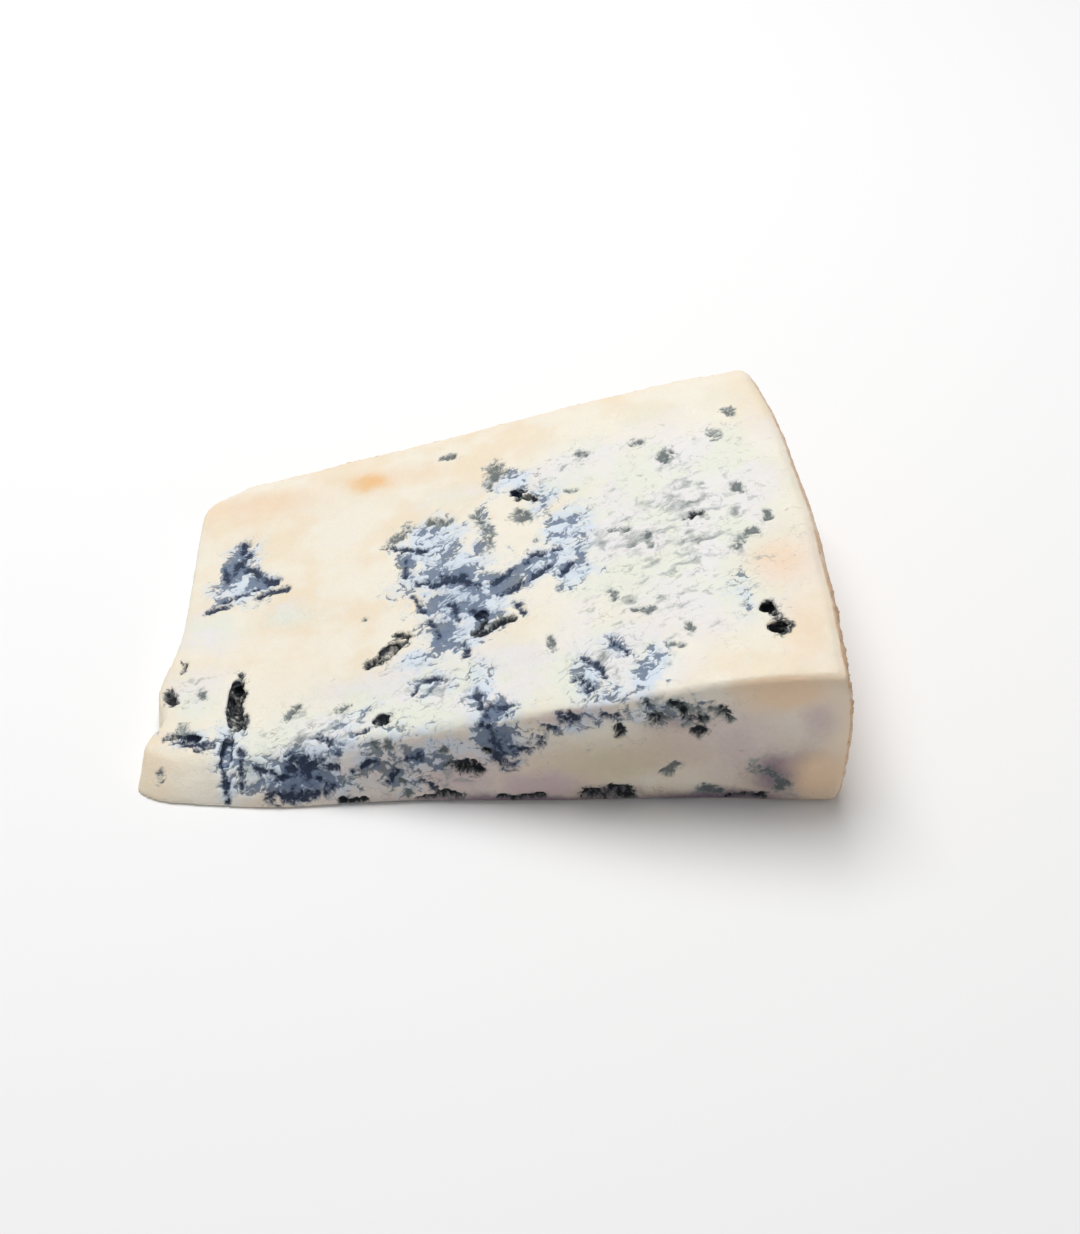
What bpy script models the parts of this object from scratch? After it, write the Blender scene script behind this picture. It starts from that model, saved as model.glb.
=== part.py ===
"""A wedge of blue cheese, cut from a halved wheel and lying on one of its two long cut faces.

The wheel's axis runs along Y. The thin end, where the two long cuts meet, is at -X, and the
wheel's bulging side, with its rind, is at +X. The near side (-Y) is the cut that halved the wheel,
and the far side (+Y) is the wheel's flat face. The origin is at the middle of the underside.
"""

import math

import bmesh
import bpy
from mathutils import Matrix, Vector, noise

# Driving dimensions, in metres.
LENGTH = 0.1452  # the toe's tip to the widest point of the wheel's side
DEPTH = 0.0945  # halving cut to the wheel's flat face
TIP_HEIGHT = 0.0060  # along the whole thin end
RIND_HEIGHT_NEAR = 0.0358
RIND_HEIGHT_FAR = 0.0427
FAR_DROOP = 0.0016  # the far corner of the rind sags below its straight line
FAR_DROOP_FROM = 0.84  # where along the length that begins, as a share

# The rind end, in metres.
RIM_SETBACK = 0.0098  # the wheel's side leans in towards its flat face
SHOULDER_SETBACK = (0.0024, 0.0056)  # near and far: the top edge, behind the widest point
FOOT_SETBACK = 0.0006  # the bottom edge, behind the widest point
WIDEST_UP = 0.45  # where the side is widest, as a share of its height

# The thin end, in metres. A lump or a bite is how far it moves the outline, and where along DEPTH
# it is and how wide, as shares of DEPTH. A lump reaches out, and a bite goes in.
TIP_LINE = 0.0046  # behind the toe's tip
TIP_HOLLOW = 0.0012  # a little hollow along its middle
TOE = (-0.0072, 0.036, 0.046)
TOE_TAPER = 0.3  # how much less the toe reaches out at its top
SHOULDER_LUMP = (-0.0026, 0.225, 0.075)
NOTCH = (0.0022, 0.124, 0.034)
FAR_CORNER_CUT = 0.0100  # the far corner, cut back
FAR_CORNER_FROM = 0.905  # where along DEPTH that begins, as a share
NEAR_CORNER_CUT = 0.0050  # the near corner of the toe, rounded off
NEAR_CORNER_TO = 0.080  # where along DEPTH that ends, as a share

# The near side, in metres.
NEAR_BELLY = (-0.0022, 0.16, 0.14)  # a swelling, given as the lumps above, along the length
NEAR_ROLL = 0.0078  # the top edge rolls back, at the thin end only
NEAR_ROLL_TO = 0.75  # where along the length that ends, as a share

# Unevenness left by the wire and the hand: how far, and how many waves to the metre.
UNEVEN = ((0.00065, 45), (0.00036, 120))
UNEVEN_SEED = 4

# The cage: how many faces along X, Y and Z, and how strongly its rows crowd to the edges.
CAGE_FACES = (16, 16, 5)
CROWDING = 0.62

# Splits and holes in the upper cut face. Along and across are shares of the thin end to the rind
# and of DEPTH, the turn is from X in degrees, and the sizes are the cutter's three axes in metres.
CREVICES = {
    "toe_split": (0.111, 0.222, 91, 0.0150, 0.0027, 0.0090),
    "toe_split_mouth": (0.108, 0.060, 88, 0.0150, 0.0016, 0.0050),
    "toe_fissure": (0.046, 0.128, -8, 0.0120, 0.0014, 0.0040),
    "corner_hole": (0.334, 0.300, 38, 0.0058, 0.0022, 0.0032),
    "middle_hole": (0.335, 0.098, 12, 0.0034, 0.0029, 0.0034),
    "bloom_hole": (0.476, 0.352, -40, 0.0030, 0.0022, 0.0032),
    "bloom_slot": (0.530, 0.720, -4, 0.0046, 0.0018, 0.0036),
    "rind_hole": (0.894, 0.150, -26, 0.0040, 0.0030, 0.0044),
    "rind_hole_small": (0.882, 0.212, 30, 0.0034, 0.0026, 0.0034),
}

CHEESE_COLOUR = (0.93, 0.86, 0.72, 1.0)
CHEESE_ROUGHNESS = 0.45


def clear_scene():
    for obj in list(bpy.data.objects):
        bpy.data.objects.remove(obj)


def new_collection(name):
    collection = bpy.data.collections.new(name)
    bpy.context.scene.collection.children.link(collection)
    return collection


def mixed(start, end, share):
    return start + (end - start) * share


def smooth_step(share):
    share = min(max(share, 0.0), 1.0)
    return share * share * (3 - 2 * share)


def lump(at, shape):
    """How far a lump moves the outline: most at its middle, and nothing two widths away."""
    move, middle, width = shape
    return move * math.exp(-(((at - middle) / width) ** 2))


def rows(faces):
    """Where the cage's rows cross a unit length, closer together towards both ends."""
    for i in range(1, faces):
        even = i / faces
        crowded = (1 - math.cos(math.pi * even)) / 2
        yield mixed(even, crowded, CROWDING)


def sliced_block():
    """A unit cube from the origin, sliced along the rows of the cage."""
    mesh = bmesh.new()
    bmesh.ops.create_cube(mesh, size=1, matrix=Matrix.Translation((0.5, 0.5, 0.5)))
    for axis, faces in enumerate(CAGE_FACES):
        normal = Vector((0, 0, 0))
        normal[axis] = 1
        for row in rows(faces):
            whole = mesh.verts[:] + mesh.edges[:] + mesh.faces[:]
            bmesh.ops.bisect_plane(mesh, geom=whole, plane_co=normal * row, plane_no=normal)
    return mesh


def top_height(along, across):
    """The upper cut face: an S from end to end at the near side, nearly straight at the far one."""
    near = mixed(TIP_HEIGHT, RIND_HEIGHT_NEAR, smooth_step(along))
    droop = FAR_DROOP * smooth_step((along - FAR_DROOP_FROM) / (1 - FAR_DROOP_FROM))
    far = mixed(TIP_HEIGHT, RIND_HEIGHT_FAR, along) - droop
    return mixed(near, far, across)


def rind_x(across, up):
    """The wheel's side: it leans in towards the flat face, and bulges between top and bottom."""
    widest = LENGTH - RIM_SETBACK * across**3
    if up > WIDEST_UP:
        setback = mixed(*SHOULDER_SETBACK, across)
        return widest - setback * ((up - WIDEST_UP) / (1 - WIDEST_UP)) ** 2
    return widest - FOOT_SETBACK * (1 - up / WIDEST_UP) ** 2


def tip_x(across, up):
    """The thin end: a blunt toe near the near corner, a notch, a lump beside it, a cut far corner."""
    toe = lump(across, TOE) * (1 - TOE_TAPER * up)
    lumps = toe + lump(across, SHOULDER_LUMP) + lump(across, NOTCH)
    hollow = TIP_HOLLOW * math.sin(math.pi * across)
    far_corner = FAR_CORNER_CUT * smooth_step((across - FAR_CORNER_FROM) / (1 - FAR_CORNER_FROM))
    near_corner = NEAR_CORNER_CUT * max(1 - across / NEAR_CORNER_TO, 0) ** 2
    return TIP_LINE + lumps + hollow + far_corner + near_corner


def near_y(along, up):
    """The halving cut: at the thin end it is a little swollen, and its top edge rolls back."""
    roll = NEAR_ROLL * (1 - smooth_step(along / NEAR_ROLL_TO)) * up**1.5
    return roll + lump(along, NEAR_BELLY)


def shaped(point):
    """Carries a point of the unit block to its place in the wedge, before the unevenness."""
    along, across, up = point
    x = mixed(tip_x(across, up), rind_x(across, up), along)
    y = mixed(near_y(along, up), DEPTH, across)
    return Vector((x, y, top_height(along, across) * up))


def unevenness(place):
    """A gentle wander of the surface, in broad and in narrow waves. The underside stays flat."""
    wander = Vector((0, 0, 0))
    for size, waves in UNEVEN:
        wander += noise.noise_vector(place * waves) * size
    if place.z == 0:
        wander.z = 0
    return wander


def coloured(name, colour, roughness):
    material = bpy.data.materials.new(name)
    material.use_nodes = True
    shader = material.node_tree.nodes["Principled BSDF"]
    shader.inputs["Base Color"].default_value = colour
    shader.inputs["Roughness"].default_value = roughness
    shader.inputs["Metallic"].default_value = 0.0
    return material


def cheese_cage(collection):
    """The wedge as a coarse cage, rounded by one level of subdivision."""
    cage = sliced_block()
    for vertex in cage.verts:
        place = shaped(vertex.co)
        vertex.co = place + unevenness(place)
    bmesh.ops.recalc_face_normals(cage, faces=cage.faces)
    mesh = bpy.data.meshes.new("cheese_wedge")
    cage.to_mesh(mesh)
    cage.free()
    wedge = bpy.data.objects.new("cheese_wedge", mesh)
    collection.objects.link(wedge)
    rounding = wedge.modifiers.new("soft edges", "SUBSURF")
    rounding.levels = 1
    rounding.render_levels = 1
    return wedge


def crevice_cutter(name, along, across, turn, sizes, collection):
    """A stretched ball, sunk to its middle in the upper cut face."""
    ball = bmesh.new()
    bmesh.ops.create_uvsphere(ball, u_segments=12, v_segments=8, radius=0.5)
    bmesh.ops.scale(ball, vec=sizes, verts=ball.verts)
    mesh = bpy.data.meshes.new(name)
    ball.to_mesh(mesh)
    ball.free()
    cutter = bpy.data.objects.new(name, mesh)
    cutter.location = (mixed(TIP_LINE, LENGTH, along), DEPTH * across, top_height(along, across))
    cutter.rotation_euler = (0, 0, math.radians(turn))
    cutter.hide_render = True
    cutter.display_type = "WIRE"
    collection.objects.link(cutter)
    return cutter


def add_crevices(wedge, collection):
    for name, (along, across, turn, *sizes) in CREVICES.items():
        cut = wedge.modifiers.new(name, "BOOLEAN")
        cut.operation = "DIFFERENCE"
        cut.object = crevice_cutter(name, along, across, turn, sizes, collection)


def centre(wedge, cutters):
    """Moves everything so that the origin is at the middle of the underside's box."""
    bpy.context.view_layer.update()
    graph = bpy.context.evaluated_depsgraph_get()
    corners = [Vector(corner) for corner in wedge.evaluated_get(graph).bound_box]
    low = Vector(min(corner[axis] for corner in corners) for axis in range(3))
    high = Vector(max(corner[axis] for corner in corners) for axis in range(3))
    shift = Vector((-(low.x + high.x) / 2, -(low.y + high.y) / 2, -low.z))
    wedge.data.transform(Matrix.Translation(shift))
    for cutter in cutters.objects:
        cutter.location += shift


def main():
    noise.seed_set(UNEVEN_SEED)
    clear_scene()
    cheese = new_collection("blue_cheese_wedge")
    cutters = new_collection("cutters")
    wedge = cheese_cage(cheese)
    add_crevices(wedge, cutters)
    centre(wedge, cutters)
    wedge.data.shade_smooth()
    wedge.data.materials.append(coloured("cheese", CHEESE_COLOUR, CHEESE_ROUGHNESS))


main()
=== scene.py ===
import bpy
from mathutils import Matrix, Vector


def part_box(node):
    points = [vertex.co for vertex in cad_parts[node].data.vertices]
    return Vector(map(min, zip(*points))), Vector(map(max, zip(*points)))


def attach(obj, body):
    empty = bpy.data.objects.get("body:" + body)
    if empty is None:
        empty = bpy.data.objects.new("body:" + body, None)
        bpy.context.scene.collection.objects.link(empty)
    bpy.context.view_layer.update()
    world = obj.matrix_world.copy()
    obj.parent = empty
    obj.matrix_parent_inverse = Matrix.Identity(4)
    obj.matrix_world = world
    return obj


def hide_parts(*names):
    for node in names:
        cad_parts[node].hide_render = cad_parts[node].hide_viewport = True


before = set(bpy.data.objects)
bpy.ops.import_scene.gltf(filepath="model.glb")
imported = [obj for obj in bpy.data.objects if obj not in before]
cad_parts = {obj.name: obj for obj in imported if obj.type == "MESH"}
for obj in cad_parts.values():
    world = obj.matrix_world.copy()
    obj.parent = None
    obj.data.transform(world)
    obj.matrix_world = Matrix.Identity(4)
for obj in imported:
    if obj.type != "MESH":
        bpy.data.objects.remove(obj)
# The wedge's fine mesh is made from the imported solid. Mould, stains, painted contact shade at the foot
# and rind are named places on it, turned into one number per point for each kind, and the same nodes then
# sink the pits into the mesh and colour the material, so that each pit is where its stain is.
"""The looks of the blue cheese wedge: its crumbly surface, its mould and its rind.

The wedge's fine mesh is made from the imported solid. Mould, stains and rind are named places on it,
turned into one number per point for each kind, and the same nodes then sink the pits into the
mesh and colour the material, so that each pit is where its stain is.
"""

import math

import bmesh
import bpy
import numpy as np
from mathutils import Vector, noise
from mathutils.bvhtree import BVHTree

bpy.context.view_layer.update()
LOW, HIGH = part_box("cheese_wedge")
SIZE = HIGH - LOW
MM = 0.001

VOXEL = 0.00055  # the fine mesh's edge
FLOOR_CUT = 0.006  # the underside's faces, which stay flat and coarse

# Mould and other marks. A place is percent of the wedge's length and depth on the upper face
# ("top"), or of its length and height on the halving cut ("near").
# Soft patches: face, place, radii in mm, turn in degrees, strength.
PATCHES = {
    "cool": [  # paste that mould has turned whitish
        ("top", (78, 50), (26.0, 36.0), 0, 1.0),
        ("top", (62, 76), (14.0, 12.0), 0, 0.7),
        ("top", (44, 14), (30.0, 15.0), 0, 0.9),
        ("top", (66, 14), (16.0, 15.0), 0, 1.0),
        ("top", (24, 9), (20.0, 10.0), 0, 0.9),
        ("top", (8, 46), (9.0, 8.0), -10, 0.7),
        ("top", (7, 27), (8.0, 10.0), 0, 0.7),
        ("top", (20, 48), (10.0, 5.0), -12, 0.5),
        ("top", (43, 76), (9.0, 5.0), 0, 0.5),
        ("near", (30, 18), (24.0, 7.0), 8, 0.8),
        ("near", (50, 38), (16.0, 5.0), 14, 0.6),
    ],
    "specks": [  # where small grey-green specks gather
        ("top", (77, 48), (24.0, 34.0), 0, 1.0),
        ("top", (70, 30), (12.0, 12.0), 0, 0.9),
        ("top", (62, 79), (15.0, 9.0), 0, 0.7),
        ("top", (84, 76), (9.0, 9.0), 0, 0.7),
        ("top", (42, 15), (15.0, 12.0), 0, 0.95),
        ("top", (24, 12), (18.0, 9.0), 0, 1.0),
        ("top", (7, 27), (6.0, 9.0), 0, 0.8),
        ("top", (22, 46), (7.0, 3.0), -10, 0.5),
        ("top", (43, 90), (12.0, 3.0), 0, 0.45),
        ("top", (66, 14), (14.0, 12.0), 0, 0.9),
        ("near", (22, 20), (24.0, 7.0), 0, 1.0),
        ("near", (42, 22), (15.0, 10.0), 0, 1.0),
        ("near", (54, 38), (10.0, 8.0), 0, 0.9),
        ("near", (72, 62), (20.0, 7.0), 10, 1.0),
        ("near", (78, 7), (30.0, 3.5), 0, 0.9),
        ("near", (89, 28), (8.0, 6.0), 0, 0.7),
    ],
    "bloom": [  # pale blue mould
        ("top", (10.5, 68), (5.0, 8.0), 0, 1.0),
        ("top", (11.5, 59), (8.5, 5.0), 0, 1.0),
        ("top", (41, 62), (9.0, 8.0), -10, 1.0),
        ("top", (43, 51), (12.0, 8.0), 10, 1.0),
        ("top", (47, 41), (11.0, 10.0), 0, 1.0),
        ("top", (45, 32), (8.0, 6.5), 0, 0.9),
        ("top", (58, 48), (11.0, 5.5), 12, 1.0),
        ("top", (62, 43), (5.5, 6.0), 0, 0.9),
        ("top", (61, 57), (6.0, 8.0), -10, 0.95),
        ("top", (53, 76), (6.5, 5.0), -25, 0.8),
        ("top", (57.5, 68), (4.0, 6.5), 0, 0.7),
        ("top", (48.5, 67), (2.5, 8.0), 0, 0.6),
        ("top", (39.5, 26), (7.0, 4.0), 0, 0.8),
        ("top", (42, 19), (6.0, 5.0), 0, 0.6),
        ("top", (48.7, 14), (3.4, 10.0), 0, 0.8),
        ("top", (51, 6), (6.0, 4.5), 0, 0.9),
        ("top", (63.5, 10), (4.0, 8.0), 0, 0.8),
        ("top", (72, 9), (3.6, 9.5), -14, 0.9),
        ("top", (68, 17), (6.5, 2.8), -45, 0.7),
        ("top", (67, 5), (8.0, 4.0), 0, 0.6),
        ("top", (85, 27), (3.0, 10.0), 12, 0.55),
        ("top", (25, 4), (17.0, 5.0), 0, 1.0),
        ("top", (29, 12), (10.0, 3.2), 25, 0.6),
        ("top", (38, 5), (12.0, 4.0), 0, 0.7),
        ("top", (13.2, 9), (3.8, 11.0), 0, 0.8),
        ("top", (7, 14), (6.5, 3.6), 0, 0.7),
        ("near", (13, 13), (3.6, 4.0), 0, 0.9),
        ("near", (24, 14), (12.0, 4.0), 0, 1.0),
        ("near", (34, 27), (8.0, 3.4), 14, 0.6),
        ("near", (38, 13), (5.0, 4.0), 0, 0.6),
        ("near", (51.5, 40), (7.0, 6.0), 0, 0.9),
        ("near", (43, 30), (11.0, 5.0), 14, 0.7),
        ("near", (62, 56), (9.0, 4.0), 14, 0.6),
        ("near", (73, 67), (9.0, 3.6), 12, 0.7),
    ],
    "slate": [  # the dense mould inside it
        ("top", (9.8, 66), (3.4, 7.0), 8, 0.8),
        ("top", (14.6, 60.5), (5.0, 3.2), -20, 0.7),
        ("top", (37, 56), (4.0, 6.5), 0, 0.7),
        ("top", (43.5, 49), (6.5, 3.6), -8, 1.0),
        ("top", (45.5, 43), (5.5, 6.0), 0, 1.0),
        ("top", (43.5, 35), (5.0, 8.0), 12, 0.8),
        ("top", (53, 45), (6.0, 3.4), 12, 0.9),
        ("top", (50, 33), (6.0, 4.0), 0, 0.8),
        ("top", (59, 50), (5.0, 2.6), 0, 0.6),
        ("top", (63.5, 46), (3.2, 4.5), 0, 0.5),
        ("top", (48.6, 62), (2.2, 8.0), -8, 0.6),
        ("top", (51.3, 7.5), (2.6, 2.8), 0, 1.0),
        ("top", (24, 2), (9.0, 2.6), 0, 0.5),
        ("near", (24, 12), (9.0, 3.4), 0, 0.9),
        ("near", (52, 36), (4.2, 5.0), 0, 1.0),
        ("near", (34, 22), (8.0, 3.4), 12, 0.5),
        ("near", (43, 30), (7.0, 4.0), 14, 0.45),
        ("near", (38, 13), (3.0, 3.0), 0, 0.5),
        ("near", (75, 63), (6.0, 3.2), 8, 0.6),
    ],
    "peach": [  # riper paste
        ("top", (13, 88), (17.0, 6.0), -6, 0.6),
        ("top", (91, 36), (8.0, 8.0), 0, 0.7),
        ("top", (93, 14), (5.0, 12.0), 0, 0.5),
        ("top", (20, 33), (9.0, 9.0), 0, 0.25),
        ("top", (33, 88), (14.0, 4.0), -8, 0.5),
        ("near", (90, 80), (9.0, 6.0), 0, 1.0),
        ("near", (96, 20), (6.0, 8.0), 0, 1.0),
        ("near", (87, 88), (14.0, 2.4), 0, 0.2),
    ],
    "waxy": [("top", (30.5, 87), (5.5, 2.6), -22, 0.85)],  # a small orange spot
    "olive": [("near", (69, 32), (17.0, 6.5), 10, 1.0)],  # duller, yellower paste
    "mauve": [  # paste that the mould has turned dull, on the halving cut
        ("near", (30, 12), (26.0, 6.0), 4, 0.5),
        ("near", (46, 18), (14.0, 8.0), 0, 0.8),
        ("near", (57, 13), (10.0, 5.0), 0, 1.0),
        ("near", (62, 60), (10.0, 4.0), 16, 0.7),
        ("near", (84, 42), (8.0, 14.0), 0, 0.7),
        ("near", (95, 60), (5.0, 7.0), 0, 0.7),
        ("near", (90, 24), (6.0, 7.0), 0, 1.0),
        ("near", (42, 24), (30.0, 9.0), 12, 0.6),
        ("near", (82, 48), (20.0, 12.0), 0, 0.6),
    ],
    "plum_and_foot_shade": [  # purplish stains, and painted contact shade along its foot
        ("near", (56, 1), (34.0, 2.2), 0, 0.9),
        ("near", (94, 24), (6.0, 8.0), 0, 0.75),
        ("near", (76, 61), (8.0, 4.0), 10, 0.5),
        ("near", (67, 6), (7.0, 3.2), 0, 0.9),
        ("near", (82, 3), (20.0, 3.0), 0, 1.0),
        ("near", (90, 22), (6.0, 7.0), 0, 0.8),
    ],
}
# Veins and spots: face, width in mm, and the places they run through.
VEINS = {
    "navy": [
        ("top", 2.2, (10.3, 75), (11.2, 70), (9.2, 64)),
        ("top", 1.6, (7.6, 68), (9.2, 62)),
        ("top", 1.8, (12, 66), (14, 62), (16.5, 59.5)),
        ("top", 1.2, (9, 56), (14, 57.5)),
        ("top", 1.7, (14, 55.3), (18.6, 56.2)),
        ("top", 1.5, (6.4, 52.8), (9.6, 54.2)),
        ("top", 1.6, (33.5, 64), (36.5, 62.5), (40, 60.5)),
        ("top", 1.5, (36.6, 58), (36.9, 53)),
        ("top", 2.0, (39.2, 50), (42, 48.3), (46, 49.6)),
        ("top", 2.0, (43, 51), (46.5, 46.8)),
        ("top", 1.4, (46, 47), (48.5, 45)),
        ("top", 1.8, (50.3, 45), (53, 47), (55.6, 48.6)),
        ("top", 1.3, (56, 50.4), (58, 51)),
        ("top", 1.1, (59.2, 51.6), (60.6, 51)),
        ("top", 1.6, (51.3, 41), (54, 42.6)),
        ("top", 1.3, (56, 44), (58.6, 46)),
        ("top", 1.4, (60.3, 42.2), (62.3, 45.5)),
        ("top", 1.3, (44, 42), (45.2, 36.5)),
        ("top", 1.1, (38.4, 45), (40.6, 41)),
        ("top", 1.2, (41, 37), (43, 33)),
        ("top", 1.4, (47, 38), (48.6, 35)),
        ("top", 1.4, (53.4, 37.4), (55, 34)),
        ("top", 1.5, (46, 27.8), (46.8, 25)),
        ("top", 1.1, (39.2, 17.5), (41, 20.5), (43.4, 19.5)),
        ("top", 1.3, (48, 14), (49.2, 9)),
        ("top", 2.8, (50.5, 8.6), (52.6, 7)),
        ("top", 1.6, (49, 5), (51, 3)),
        ("top", 2.1, (62.2, 10.6), (63.8, 7.4)),
        ("top", 1.2, (62.8, 15.6), (65.6, 12.4), (66, 9)),
        ("top", 1.1, (66.5, 21), (69.5, 15)),
        ("top", 2.0, (3.8, 14.6), (7.5, 12.6), (10.6, 12)),
        ("top", 1.4, (17, 5.5), (21, 3.5)),
        ("top", 1.8, (22, 7), (25, 4.4), (29, 4.6)),
        ("top", 1.6, (23, 2.0), (28, 2.4)),
        ("top", 1.3, (25.5, 9.6), (28.5, 7.6)),
        ("top", 1.1, (31, 8.4), (33.2, 9.4)),
        ("top", 1.3, (12.2, 7), (12.8, 2)),
        ("top", 1.2, (14.6, 9), (15.5, 3)),
        ("near", 3.8, (51, 39), (51.7, 33), (52.2, 29)),
        ("near", 2.4, (53.4, 36), (55.6, 38.5)),
        ("near", 1.8, (50.4, 46), (51, 42)),
        ("near", 1.8, (57, 46), (57.3, 42)),
        ("near", 1.7, (60.2, 58.4), (62.6, 60.4)),
        ("near", 2.2, (24, 9), (24.6, 17)),
        ("near", 2.4, (19.4, 4.5), (22, 5.5), (27.4, 6.5)),
        ("near", 1.6, (25, 19.6), (28.8, 21.6)),
        ("near", 1.6, (26.4, 14.6), (28, 10)),
        ("near", 1.5, (20.8, 14), (22.6, 17)),
        ("near", 1.6, (35.6, 12), (37.2, 19)),
        ("near", 1.4, (31.5, 20), (34.6, 24)),
        ("near", 1.5, (40.6, 15), (42.4, 9)),
        ("near", 1.4, (38.4, 27), (41, 29)),
        ("near", 1.6, (65.4, 62), (67.6, 63)),
        ("near", 1.5, (57.4, 52), (59.4, 52)),
        ("near", 1.5, (12.4, 12.5), (12.8, 5)),
    ],
    "black": [
        ("top", 2.0, (13.2, 31), (13.4, 24), (14.2, 16)),
        ("top", 1.6, (47.8, 31.6), (50, 31), (53.2, 32.4)),
        ("top", 1.3, (47.2, 31), (49, 34.8)),
        ("top", 1.7, (54.2, 70.2), (56.2, 69.2)),
        ("top", 2.2, (33, 28.6), (35.6, 29.8), (37.2, 32.6)),
        ("top", 1.2, (36.6, 35), (38.6, 34.6)),
        ("top", 1.8, (88.8, 23), (89.8, 20)),
        ("top", 2.4, (90, 17.6), (90.4, 15.6)),
        ("top", 1.8, (79.4, 52.8), (80.6, 52)),
        ("top", 2.3, (35.2, 11), (35.8, 11)),
        ("top", 1.1, (3.9, 37), (4.3, 34)),
        ("top", 1.7, (3.2, 27.6), (3.7, 24.8)),
        ("near", 2.2, (45.4, 24.4), (47.4, 23.6), (49, 22.4)),
        ("near", 2.6, (64, 8), (66.4, 10), (69.2, 8.6), (70, 5)),
        # these three strokes along the foot are mould and partly painted contact shade
        ("near", 2.0, (64.5, 5), (70, 4)),
        ("near", 1.5, (40.5, 4.4), (46, 4.6)),
        ("near", 1.3, (29.5, 4), (33, 4)),
        ("near", 2.8, (78.2, 51), (78.8, 50.6)),
        ("near", 1.7, (71.5, 72), (71.7, 67)),
        ("near", 2.6, (72.6, 63.6), (73.2, 62)),
        ("near", 2.0, (68, 55), (68.3, 51)),
        ("near", 1.6, (74.6, 71), (76, 66)),
        ("near", 1.5, (76.6, 62), (79.6, 60)),
        ("near", 1.4, (81.4, 70), (82.4, 64)),
        # these two strokes along the foot are mould and partly painted contact shade
        ("near", 1.6, (84, 4), (89, 5)),
        ("near", 1.3, (52, 4), (58, 4)),
        ("near", 1.5, (49.4, 33.6), (49.7, 32)),
    ],
    "grey": [
        ("top", 2.8, (49.7, 83), (50.2, 80)),
        ("top", 1.3, (49.5, 78), (49.5, 75.4)),
        ("top", 2.2, (34.4, 66), (36.8, 68.4)),
        ("top", 1.7, (40.8, 69.2), (43.6, 67.6)),
        ("top", 1.7, (47.3, 69), (48.2, 64), (49.6, 60), (49.5, 56)),
        ("top", 3.0, (54.2, 64.6), (55.8, 63.4)),
        ("top", 2.6, (75.6, 73), (76.6, 75)),
        ("top", 2.1, (83, 78.2), (84, 77.2)),
        ("top", 2.0, (71.6, 80), (72.6, 79.6)),
        ("top", 1.6, (63, 81.2), (64.2, 80.4)),
        ("top", 1.9, (85.8, 84.6), (86.2, 83)),
        ("top", 1.1, (60.8, 69), (63, 68.4)),
        ("top", 1.6, (90, 51.6), (90.1, 48.8)),
        ("top", 2.4, (85.2, 42), (87.8, 45.4)),
        ("top", 1.8, (72.6, 50), (73.3, 46)),
        ("top", 1.1, (67.4, 53.6), (70, 52.6)),
        ("top", 2.2, (85.8, 60.6), (86.6, 59)),
        ("top", 1.4, (67.2, 34.6), (67.7, 32)),
        ("top", 1.8, (71, 27.8), (72.4, 27)),
        ("top", 1.1, (58.7, 25), (59, 20.6)),
        ("top", 1.3, (77.4, 20.4), (77.6, 19.2)),
        ("top", 1.2, (74.8, 15.2), (76.6, 14.2)),
        ("top", 2.2, (21.4, 18), (22.8, 18.8)),
        ("top", 1.4, (28, 17), (29.4, 17.4)),
        ("top", 1.7, (7.7, 27.4), (8.2, 26.4)),
        ("top", 2.2, (5.4, 17.4), (6.8, 16.8)),
        ("top", 1.0, (31.3, 43.2), (31.6, 42.8)),
        ("top", 1.2, (41.6, 90.4), (43.4, 89.6)),
        ("near", 2.6, (75, 69), (78, 66), (79.6, 60)),
        ("near", 1.7, (76.6, 57.6), (77.4, 56.4)),
        ("near", 2.0, (80.8, 69), (82.6, 62)),
        ("near", 2.2, (75, 22), (76, 27)),
        ("near", 1.8, (36.4, 16.4), (38.2, 13)),
        ("near", 1.5, (38.4, 8.4), (38.8, 7)),
        ("near", 1.4, (33.8, 30.4), (34.4, 29.6)),
        ("near", 1.4, (36.2, 32.8), (36.8, 32)),
        ("near", 1.3, (43.8, 34.6), (44.2, 33)),
        ("near", 1.4, (3.2, 8.8), (4, 8.2)),
        ("near", 2.2, (79.5, 7.6), (82.5, 7)),
        ("near", 2.6, (87, 26), (90, 20), (91, 14)),
    ],
}
# The same on the hidden cut faces, at random: the noise's level at a patch's edge, and its strength.
HIDDEN_MOULD = {"cool": (-0.10, 0.9), "specks": (-0.05, 0.9), "bloom": (0.18, 1.0), "slate": (0.30, 1.0)}
HIDDEN_WAVES = 0.035  # to the mm
HIDDEN_EDGE = 0.15  # how far the noise's level changes across a patch's edge, either way
HIDDEN_SEED = 23
VEIN_SPREAD = 0.72  # how far a vein reaches, in its own widths
PATCH_FADE = 0.9  # how fast a patch fades: at its radius it is down to exp(-this)
WARP = (1.3, 0.17)  # how far patches and veins wander, in mm, and the waves per mm
WARP_SEED = 11
RIND_DEPTH = 9.0  # mm in which the paste turns to rind, at the rind end
FAR_DEPTH = 5.5  # and at the wheel's flat face

# How deep each kind of mould sinks its pits, in mm, and how far the paste swells and crumbles.
PITS = {"black": 1.1, "navy": 0.6, "grey": 0.5, "thread": 0.3, "speck": 0.15, "speck_core": 0.4}
SWELL = 0.55
CRUMBLE = 0.24
RIND_ROUGH = 0.5  # how rough the rind is, in mm
STREAK_TURN = 18  # degrees from the wedge's length, on the upper face

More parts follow.
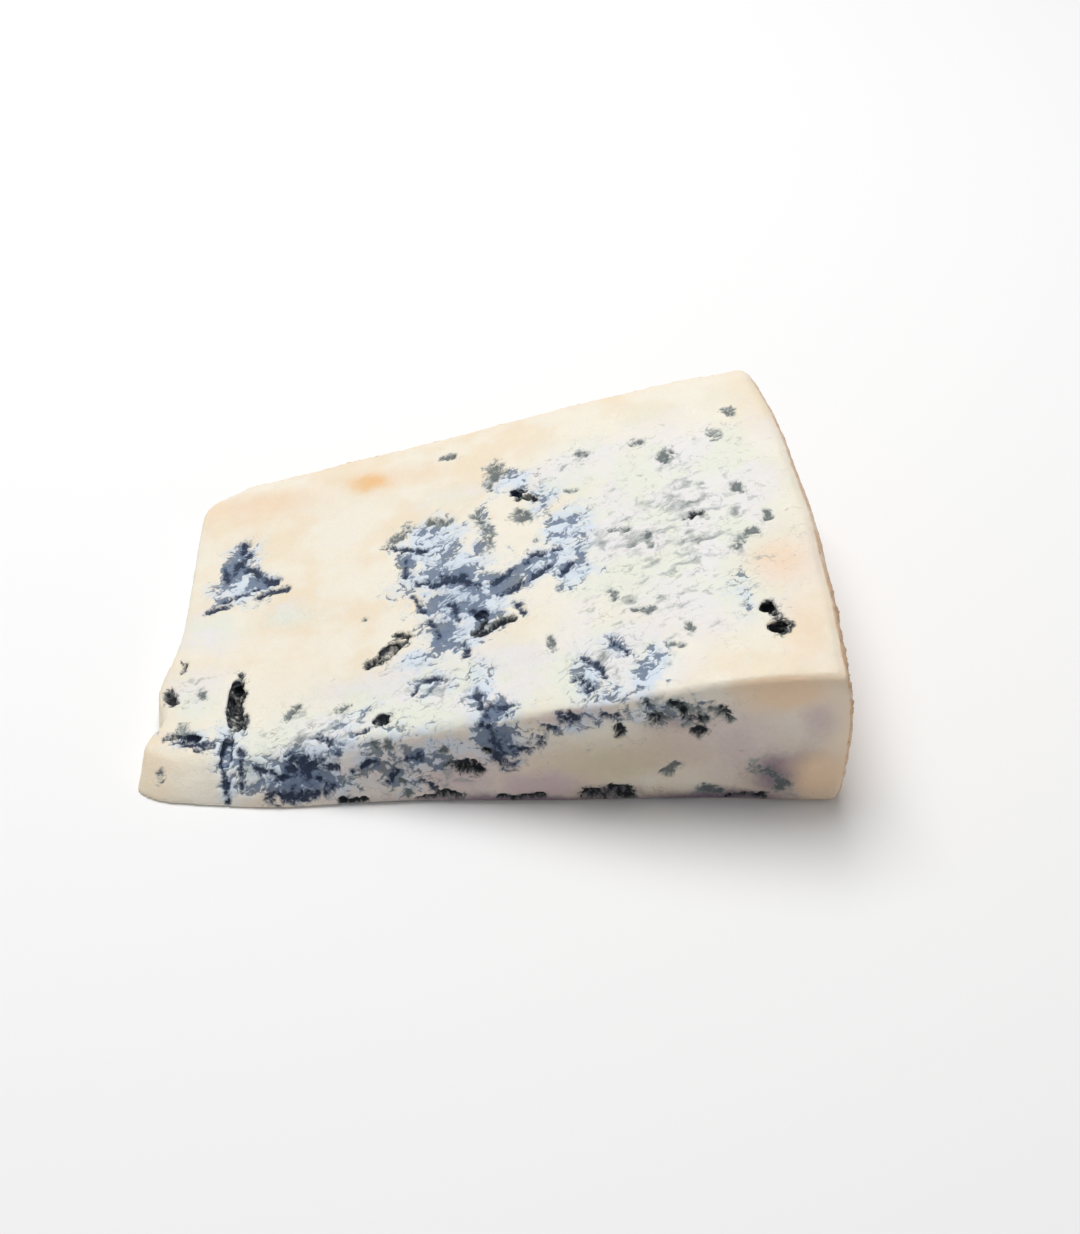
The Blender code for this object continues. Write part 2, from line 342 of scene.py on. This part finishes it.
# The mould's upper colours, from the lowest to the topmost: mask, colour, and how much it covers.
UPPER_COLOURS = (
    ("grey_edge", "speck", 0.6),
    ("grey", "grey", 0.85),
    ("navy_edge", "slate_dark", 0.55),
    ("navy", "navy", 0.95),
    ("black_edge", "grey", 0.8),
    ("black", "black", 1.0),
)
GLOSS = (0.40, 0.58)  # the paste's roughness, where it is moist and where it is dry
DUSTY = 0.3  # how much rougher mould is
BUMP_STRENGTH = 0.25
BUMP_DEPTH = 0.0004
BUMP_WAVES = 2.2  # to the mm

# The camera, the lights and the floor.
AIM = Vector((0.0104, -0.0127, 0.0200))
CAMERA_RAISED = 43  # degrees above the horizon
CAMERA_FAR = 0.3936
LENS = 55
KEY_PLACE = Vector((-0.12, 0.30, 0.92))
KEY_AIM = Vector((0, 0, 0.02))
KEY_SIZE = 0.65
KEY_WATTS = 8.3
SKY_STRENGTH = 0.30
FLOOR_SIZE = 4
FLOOR_GREY = 0.93


def linear(*rgb):
    """An sRGB colour of 0 to 255 as the linear colour that a shader takes."""
    shares = [c / 255 for c in rgb]
    return tuple(s / 12.92 if s <= 0.04045 else ((s + 0.055) / 1.055) ** 2.4 for s in shares)


COLOURS = {
    "paste": linear(240, 233, 217),
    "paste_deep": linear(238, 223, 198),
    "cool_green": linear(229, 232, 220),
    "cool_lilac": linear(232, 230, 230),
    "peach": linear(240, 210, 178),
    "waxy": linear(236, 190, 132),
    "olive": linear(214, 200, 172),
    "mauve": linear(206, 186, 186),
    # purplish stain colour, also used as painted contact shade along the foot
    "plum_and_foot_shade": linear(124, 104, 120),
    "rind": linear(218, 182, 146),
    "rind_dark": linear(188, 146, 112),
    "rind_pale": linear(230, 208, 182),
    "bloom": linear(210, 223, 237),
    "slate": linear(140, 158, 182),
    "slate_dark": linear(82, 100, 128),
    "navy": linear(36, 48, 72),
    "black": linear(26, 30, 36),
    "grey": linear(88, 96, 98),
    "speck": linear(142, 152, 150),
}


def smooth_step(low, high, values):
    share = np.clip((values - low) / (high - low), 0, 1)
    return share * share * (3 - 2 * share)


def fine_wedge(node):
    """A closed copy of the CAD node with small even faces all over."""
    mesh = node.data.copy()
    welded = bmesh.new()
    welded.from_mesh(mesh)
    bmesh.ops.remove_doubles(welded, verts=welded.verts, dist=1e-6)
    welded.to_mesh(mesh)
    welded.free()
    wedge = bpy.data.objects.new("cheese", mesh)
    bpy.context.scene.collection.objects.link(wedge)
    remesh = wedge.modifiers.new("even faces", "REMESH")
    remesh.mode = "VOXEL"
    remesh.voxel_size = VOXEL
    remesh.use_smooth_shade = True
    apply_modifiers(wedge)
    return wedge


def apply_modifiers(piece):
    graph = bpy.context.evaluated_depsgraph_get()
    graph.update()
    made = bpy.data.meshes.new_from_object(piece.evaluated_get(graph))
    piece.modifiers.clear()
    piece.data = made


def coarse_underside(wedge):
    """Flattens the underside and joins its small faces into larger ones."""
    mesh = bmesh.new()
    mesh.from_mesh(wedge.data)
    flat = [v for v in mesh.verts if v.co.z < VOXEL / 2 and v.normal.z < -0.99]
    for vertex in flat:
        vertex.co.z = 0
    inner = [v for v in flat if all(f.normal.z < -0.99 for f in v.link_faces)]
    bmesh.ops.dissolve_verts(mesh, verts=inner)
    for axis in (0, 1):
        normal = Vector((1 - axis, axis, 0))
        cut = LOW[axis] + FLOOR_CUT
        while cut < HIGH[axis]:
            faces = [f for f in mesh.faces if f.normal.z < -0.999 and f.calc_center_median().z < 1e-6]
            whole = list({g for f in faces for g in (f, *f.edges, *f.verts)})
            bmesh.ops.bisect_plane(mesh, geom=whole, plane_co=normal * cut, plane_no=normal)
            cut += FLOOR_CUT
    mesh.to_mesh(wedge.data)
    mesh.free()
    wedge.data.update()


def vertex_array(items, name):
    """One vector of each of a mesh's vertices or normals, as rows."""
    values = np.zeros(len(items) * 3, np.float32)
    items.foreach_get(name, values)
    return values.reshape(-1, 3).astype(float)


def wander(points):
    """Shifts points in mm by a smooth noise, so that nothing drawn at them has a clean edge."""
    size, waves = WARP
    noise.seed_set(WARP_SEED)
    moves = [noise.noise_vector(Vector(p) * waves) + noise.noise_vector(Vector(p) * waves * 3) * 0.4
             for p in points]
    return points + np.array(moves) * size


def on_face(points, face):
    """Points in mm as two coordinates on the upper face or on the halving cut."""
    return points[:, (0, 1)] if face == "top" else points[:, (0, 2)]


def in_mm(place, face):
    """A place in percent as two coordinates in mm."""
    second = 1 if face == "top" else 2
    along = LOW.x + SIZE.x * place[0] / 100
    across = LOW[second] + SIZE[second] * place[1] / 100
    return np.array((along, across)) / MM


def patch_strength(flat, face, place, radii, turn, strength):
    """The strength in the middle of an ellipse, fading outwards from there."""
    away = flat - in_mm(place, face)
    c, s = math.cos(math.radians(turn)), math.sin(math.radians(turn))
    x = (away[:, 0] * c + away[:, 1] * s) / radii[0]
    y = (-away[:, 0] * s + away[:, 1] * c) / radii[1]
    return strength * np.exp(-PATCH_FADE * (x * x + y * y))


def vein_strength(flat, face, width, *places):
    """1 along a line through the places, falling to about 0.6 half a width away."""
    near = np.full(len(flat), np.inf)
    ends = [in_mm(place, face) for place in places]
    for start, end in zip(ends, ends[1:]):
        run = end - start
        share = np.clip(((flat - start) @ run) / (run @ run), 0, 1)
        near = np.minimum(near, np.linalg.norm(flat - start - share[:, None] * run, axis=1))
    return np.exp(-((near / width / VEIN_SPREAD) ** 2))


def to_rind(points, solid):
    """How far each point is from the wheel's side and from its flat face, in mm."""
    middle = LOW.z + SIZE.z * 0.4
    sides = []
    for y in np.linspace(LOW.y, HIGH.y, 80):
        hit = solid.ray_cast(Vector((HIGH.x + SIZE.x, float(y), middle)), Vector((-1, 0, 0)))[0]
        sides.append((y, hit.x if hit else sides[-1][1] if sides else HIGH.x))
    ys, xs = np.array(sides).T
    return (np.interp(points[:, 1], ys, xs) - points[:, 0]) / MM, (HIGH.y - points[:, 1]) / MM


def hole_walls(points, normals, to_side, to_far):
    """1 on the walls of splits and holes: they look sideways, but well inside the wedge's sides."""
    to_tip, to_near = ((points - np.array(LOW)) / MM)[:, :2].T
    along = smooth_step(0.30, 0.65, np.abs(normals[:, 0])) * (to_tip > 9) * (to_side > 7)
    across = smooth_step(0.30, 0.65, np.abs(normals[:, 1])) * (to_near > 10.5) * (to_far > 4)
    return np.maximum(along, across) * (points[:, 2] > MM)


def store(mesh, name, values, kind="FLOAT"):
    key = "value" if kind == "FLOAT" else "vector"
    attribute = mesh.attributes.new(name, kind, "POINT")
    attribute.data.foreach_set(key, np.asarray(values, np.float32).ravel())


def hidden_mould(warped, faces, level, most):
    """Patches of mould at random on the sides that no list describes."""
    noise.seed_set(HIDDEN_SEED)
    hidden = 1 - np.maximum(faces["top"], faces["near"])
    cloud = np.array([noise.noise(Vector(p) * HIDDEN_WAVES) if h else -1 for p, h in zip(warped, hidden)])
    return most * hidden * smooth_step(level - HIDDEN_EDGE, level + HIDDEN_EDGE, cloud)


def paint_fields(wedge, solid):
    """Stores where each kind of mould, stain, painted foot shade and rind is, for the nodes to read."""
    mesh = wedge.data
    points = vertex_array(mesh.vertices, "co")
    normals = vertex_array(mesh.vertex_normals, "vector")
    warped = wander(points / MM)
    faces = {
        "top": smooth_step(0.30, 0.75, normals[:, 2]),
        "near": smooth_step(0.25, 0.70, -normals[:, 1]),
    }
    to_side, to_far = to_rind(points, solid)
    holes = hole_walls(points, normals, to_side, to_far)
    faces["top"] = np.maximum(faces["top"], holes)
    flat = {face: on_face(warped, face) for face in faces}
    for name, patches in PATCHES.items():
        field = np.zeros(len(points))
        for face, *patch in patches:
            field = np.maximum(field, faces[face] * patch_strength(flat[face], face, *patch))
        if name in HIDDEN_MOULD:
            field = np.maximum(field, hidden_mould(warped, faces, *HIDDEN_MOULD[name]))
        store(mesh, name, field)
    for name, veins in VEINS.items():
        field = np.zeros(len(points))
        for face, *vein in veins:
            field = np.maximum(field, faces[face] * vein_strength(flat[face], face, *vein))
        if name == "navy":
            field = np.maximum(field, 0.9 * holes)
        store(mesh, name, field)
    side = 1 - np.clip(to_side / RIND_DEPTH, 0, 1)
    far = 1 - np.clip(to_far / FAR_DEPTH, 0, 1)
    crust_side = side * smooth_step(0.25, 0.75, normals[:, 0])
    crust_far = far * smooth_step(0.25, 0.75, normals[:, 1])
    store(mesh, "crust", np.maximum(crust_side, crust_far))
    store(mesh, "under_rind", np.maximum(side**2, 0.55 * far**2))
    store(mesh, "place", points / MM, "FLOAT_VECTOR")


class Signal:
    """A number that nodes work out at each point. It adds and multiplies like any number."""

    def __init__(self, graph, socket):
        self.graph = graph
        self.socket = socket

    def combined(self, operation, other):
        made = self.graph.node("ShaderNodeMath", operation=operation)
        self.graph.feed(made.inputs[0], self)
        self.graph.feed(made.inputs[1], other)
        return Signal(self.graph, made.outputs[0])

    def __add__(self, other):
        return self.combined("ADD", other)

    def __sub__(self, other):
        return self.combined("SUBTRACT", other)

    def __mul__(self, other):
        return self.combined("MULTIPLY", other)

    def or_more(self, other):
        return self.combined("MAXIMUM", other)

    def magnitude(self):
        return self.combined("ABSOLUTE", 0.0)

    def ramp(self, low, high, start=0.0, end=1.0):
        """Start up to low and end from high on, with a smooth change between them."""
        made = self.graph.node("ShaderNodeMapRange", interpolation_type="SMOOTHSTEP")
        for name, value in (("Value", self), ("From Min", low), ("From Max", high),
                            ("To Min", start), ("To Max", end)):
            self.graph.feed(made.inputs[name], value)
        return Signal(self.graph, made.outputs[0])


class Graph:
    """Adds nodes to a material or to a geometry node tree, which share these kinds of node."""

    def __init__(self, tree):
        self.tree = tree

    def node(self, kind, **settings):
        made = self.tree.nodes.new(kind)
        for name, value in settings.items():
            setattr(made, name, value)
        return made

    def feed(self, socket, value):
        if isinstance(value, Signal):
            value = value.socket
        if isinstance(value, bpy.types.NodeSocket):
            self.tree.links.new(value, socket)
        else:
            socket.default_value = value

    def vector(self, operation, first, second):
        made = self.node("ShaderNodeVectorMath", operation=operation)
        self.feed(made.inputs[0], first)
        self.feed(made.inputs[1], second)
        return made.outputs[0]

    def noise_node(self, place, waves, detail, roughness):
        made = self.node("ShaderNodeTexNoise")
        settings = {"Vector": place, "Scale": waves, "Detail": detail, "Roughness": roughness}
        for name, value in settings.items():
            self.feed(made.inputs[name], value)
        return made

    def noise(self, place, waves, detail=3.0, roughness=0.6):
        """Cloudy noise about 0, seldom beyond 0.3 either way, with so many waves to the mm."""
        return Signal(self, self.noise_node(place, waves, detail, roughness).outputs[0]) - 0.5

    def bent(self, place, waves, size):
        """A place moved by up to about size either way, so that lines drawn there wind."""
        wind = self.noise_node(place, waves, 2.0, 0.5).outputs[1]
        wind = self.vector("SUBTRACT", wind, (0.5, 0.5, 0.5))
        return self.vector("ADD", place, self.vector("MULTIPLY", wind, (size, size, size)))


def mould(graph, field, place):
    """The masks of every kind of mould, from the painted fields and noise."""
    bent = graph.bent(place, 0.30, 4.0)
    ragged = graph.noise(bent, 0.85) * 2.2 + graph.noise(bent, 0.33, 2.0) * 1.6
    masks = {}
    for name in ("navy", "black", "grey"):
        edge = field(name) + ragged * field(name).ramp(0.0, 0.25)
        masks[name + "_edge"] = edge.ramp(0.20, 0.75)
        masks[name] = edge.ramp(0.50, 1.02)
    cloud = graph.noise(bent, 0.30, 5.0, 0.65) * 1.5
    for name in ("bloom", "slate"):
        masks[name] = (cloud * field(name).ramp(0.0, 0.2) + field(name)).ramp(0.2, 0.85)
    slanted = graph.vector("MULTIPLY", turned(graph, bent), (0.7, 1.3, 1.0))
    gaps = graph.noise(bent, 0.22, 2.0).ramp(-0.10, 0.12, 0.25, 1.3)
    density = masks["slate"] * 0.14 + masks["bloom"] * 0.085 + field("specks") * 0.022
    thread = graph.noise(slanted, 0.27, 3.0).magnitude() - density * gaps
    masks["thread"] = thread.ramp(0.008, -0.05)
    gather = field("specks") * 0.32 + graph.noise(place, 0.09, 2.0) * 0.4
    grains = graph.noise(slanted, 0.36, 3.0, 0.55) + gather
    masks["speck"] = grains.ramp(0.27, 0.46)
    masks["speck_core"] = grains.ramp(0.42, 0.56)
    return masks


def turned(graph, place):
    """A place in a frame that is turned so that streaks drawn along X rise towards the rind."""
    made = graph.node("ShaderNodeVectorRotate", rotation_type="Z_AXIS")
    graph.feed(made.inputs["Vector"], place)
    graph.feed(made.inputs["Angle"], math.radians(-STREAK_TURN))
    return made.outputs[0]


def sink_pits(wedge):
    """Displaces the fine mesh: pits where the mould is, crumbs, swells and a rough rind."""
    tree = bpy.data.node_groups.new("cheese surface", "GeometryNodeTree")
    tree.interface.new_socket("Geometry", in_out="INPUT", socket_type="NodeSocketGeometry")
    tree.interface.new_socket("Geometry", in_out="OUTPUT", socket_type="NodeSocketGeometry")
    graph = Graph(tree)

    def attribute(name, kind):
        made = graph.node("GeometryNodeInputNamedAttribute", data_type=kind)
        made.inputs["Name"].default_value = name
        return made.outputs["Attribute"]

    def field(name):
        return Signal(graph, attribute(name, "FLOAT"))

    place = attribute("place", "FLOAT_VECTOR")
    masks = mould(graph, field, place)
    depth = masks["black"] * 0.0
    for name, millimetres in PITS.items():
        depth = depth.or_more(masks[name] * millimetres)
    rough = graph.noise(place, 0.55, 4.0, 0.65) * 2
    crumbly = (field("specks") + field("bloom") + 0.2) * CRUMBLE + field("crust") * RIND_ROUGH
    height = graph.noise(place, 0.09, 2.0, 0.5) * SWELL + rough * crumbly - depth
    above = graph.node("ShaderNodeSeparateXYZ")
    graph.feed(above.inputs[0], place)
    height = height * Signal(graph, above.outputs[2]).ramp(0.1, 1.6)
    offset = graph.node("ShaderNodeVectorMath", operation="SCALE")
    graph.feed(offset.inputs[0], graph.node("GeometryNodeInputNormal").outputs[0])
    graph.feed(offset.inputs["Scale"], height * MM)
    move = graph.node("GeometryNodeSetPosition")
    graph.feed(move.inputs["Geometry"], graph.node("NodeGroupInput").outputs[0])
    graph.feed(move.inputs["Offset"], offset.outputs[0])
    graph.feed(graph.node("NodeGroupOutput").inputs[0], move.outputs[0])
    surface = wedge.modifiers.new("surface", "NODES")
    surface.node_group = tree
    apply_modifiers(wedge)


def cheese_material():
    """Cream paste, tinted by ripeness, with mould over it, painted contact shade along its foot, and rind
    where the wheel's skin is.
    """
    material = bpy.data.materials.new("blue_cheese")
    material.use_nodes = True
    graph = Graph(material.node_tree)
    shader = material.node_tree.nodes["Principled BSDF"]

    def attribute(name, output):
        return graph.node("ShaderNodeAttribute", attribute_name=name).outputs[output]

    def field(name):
        return Signal(graph, attribute(name, "Fac"))

    def over(below, above, share):
        made = graph.node("ShaderNodeMix", data_type="RGBA")
        for socket, value in ((made.inputs[0], share), (made.inputs[6], below), (made.inputs[7], above)):
            graph.feed(socket, (*COLOURS[value], 1) if isinstance(value, str) else value)
        return made.outputs[2]

    place = attribute("place", "Vector")
    masks = mould(graph, field, place)
    fine = graph.noise(place, 1.1)
    colour = over("paste", "paste_deep", graph.noise(place, 0.06).ramp(-0.08, 0.14))
    tint = over("cool_green", "cool_lilac", graph.noise(place, 0.085).ramp(-0.08, 0.08))
    cool = field("cool") + graph.noise(place, 0.12) * 0.9
    colour = over(colour, tint, cool.ramp(0.15, 0.75, 0.0, 0.9))
    # the plum colour is partly painted contact shade along the foot
    for name in ("olive", "mauve", "plum_and_foot_shade", "peach", "waxy"):
        colour = over(colour, name, (field(name) + fine * 0.5 * field(name)).ramp(0.0, 1.0))
    colour = over(colour, "peach", field("under_rind") * 0.7)
    colour = over(colour, "bloom", masks["bloom"] * 0.85)
    colour = over(colour, "slate", masks["slate"] * fine.ramp(-0.12, 0.12, 0.15, 0.6))
    colour = over(colour, "speck", masks["speck"] * 0.6)
    colour = over(colour, "grey", masks["speck_core"] * 0.6)
    thread = over("grey", "slate_dark", masks["bloom"])
    colour = over(colour, thread, masks["thread"] * 0.8)
    for mask, upper, cover in UPPER_COLOURS:
        colour = over(colour, upper, masks[mask] * cover)
    skin = over("rind", "rind_pale", graph.noise(place, 0.22, 5.0).ramp(-0.02, 0.12))
    skin = over(skin, "rind_dark", graph.noise(place, 0.6, 4.0).ramp(0.06, 0.18))
    colour = over(colour, skin, field("crust").ramp(0.15, 0.6))
    graph.feed(shader.inputs["Base Color"], colour)
    dusty = masks["navy"].or_more(masks["black"]).or_more(masks["bloom"])
    gloss = graph.noise(place, 0.16).ramp(-0.15, 0.15, *GLOSS)
    graph.feed(shader.inputs["Roughness"], gloss + dusty * DUSTY)
    shader.inputs["Specular IOR Level"].default_value = 0.35
    shader.inputs["Subsurface Weight"].default_value = 0.15
    shader.inputs["Subsurface Radius"].default_value = (1.0, 0.8, 0.5)
    shader.inputs["Subsurface Scale"].default_value = 0.002
    bump = graph.node("ShaderNodeBump")
    bump.inputs["Strength"].default_value = BUMP_STRENGTH
    bump.inputs["Distance"].default_value = BUMP_DEPTH
    graph.feed(bump.inputs["Height"], graph.noise(place, BUMP_WAVES))
    graph.feed(shader.inputs["Normal"], bump.outputs[0])
    return material


def make_cheese():
    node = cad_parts["cheese_wedge"]
    solid = BVHTree.FromObject(node, bpy.context.evaluated_depsgraph_get())
    wedge = fine_wedge(node)
    coarse_underside(wedge)
    paint_fields(wedge, solid)
    sink_pits(wedge)
    wedge.data.shade_smooth()
    wedge.data.materials.clear()
    wedge.data.materials.append(cheese_material())
    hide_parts("cheese_wedge")
    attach(wedge, "root")


def make_floor():
    bpy.ops.mesh.primitive_plane_add(size=FLOOR_SIZE, location=(0, 0, LOW.z))
    floor = bpy.context.object
    floor.name = "floor"
    material = bpy.data.materials.new("pale_floor")
    material.use_nodes = True
    shader = material.node_tree.nodes["Principled BSDF"]
    shader.inputs["Base Color"].default_value = (FLOOR_GREY, FLOOR_GREY, FLOOR_GREY, 1)
    shader.inputs["Roughness"].default_value = 0.9
    shader.inputs["Specular IOR Level"].default_value = 0.1
    floor.data.materials.append(material)


def key_light():
    light = bpy.data.lights.new("key", "AREA")
    light.shape = "SQUARE"
    light.size = KEY_SIZE
    light.energy = KEY_WATTS
    lamp = bpy.data.objects.new("key", light)
    lamp.location = KEY_PLACE
    lamp.rotation_euler = (KEY_AIM - KEY_PLACE).to_track_quat("-Z", "Y").to_euler()
    bpy.context.scene.collection.objects.link(lamp)


def light_scene():
    key_light()
    world = bpy.data.worlds.new("soft white")
    world.use_nodes = True
    background = world.node_tree.nodes["Background"]
    background.inputs["Color"].default_value = (1, 1, 1, 1)
    background.inputs["Strength"].default_value = SKY_STRENGTH
    bpy.context.scene.world = world
    bpy.context.scene.view_settings.view_transform = "Standard"


def make_camera():
    raised = math.radians(CAMERA_RAISED)
    camera = bpy.data.objects.new("camera", bpy.data.cameras.new("camera"))
    back = Vector((0, -math.cos(raised), math.sin(raised)))
    camera.location = AIM + back * CAMERA_FAR
    camera.rotation_euler = (math.pi / 2 - raised, 0, 0)
    camera.data.lens = LENS
    camera.data.clip_start = 0.01
    bpy.context.scene.collection.objects.link(camera)
    bpy.context.scene.camera = camera


make_cheese()
make_floor()
light_scene()
make_camera()
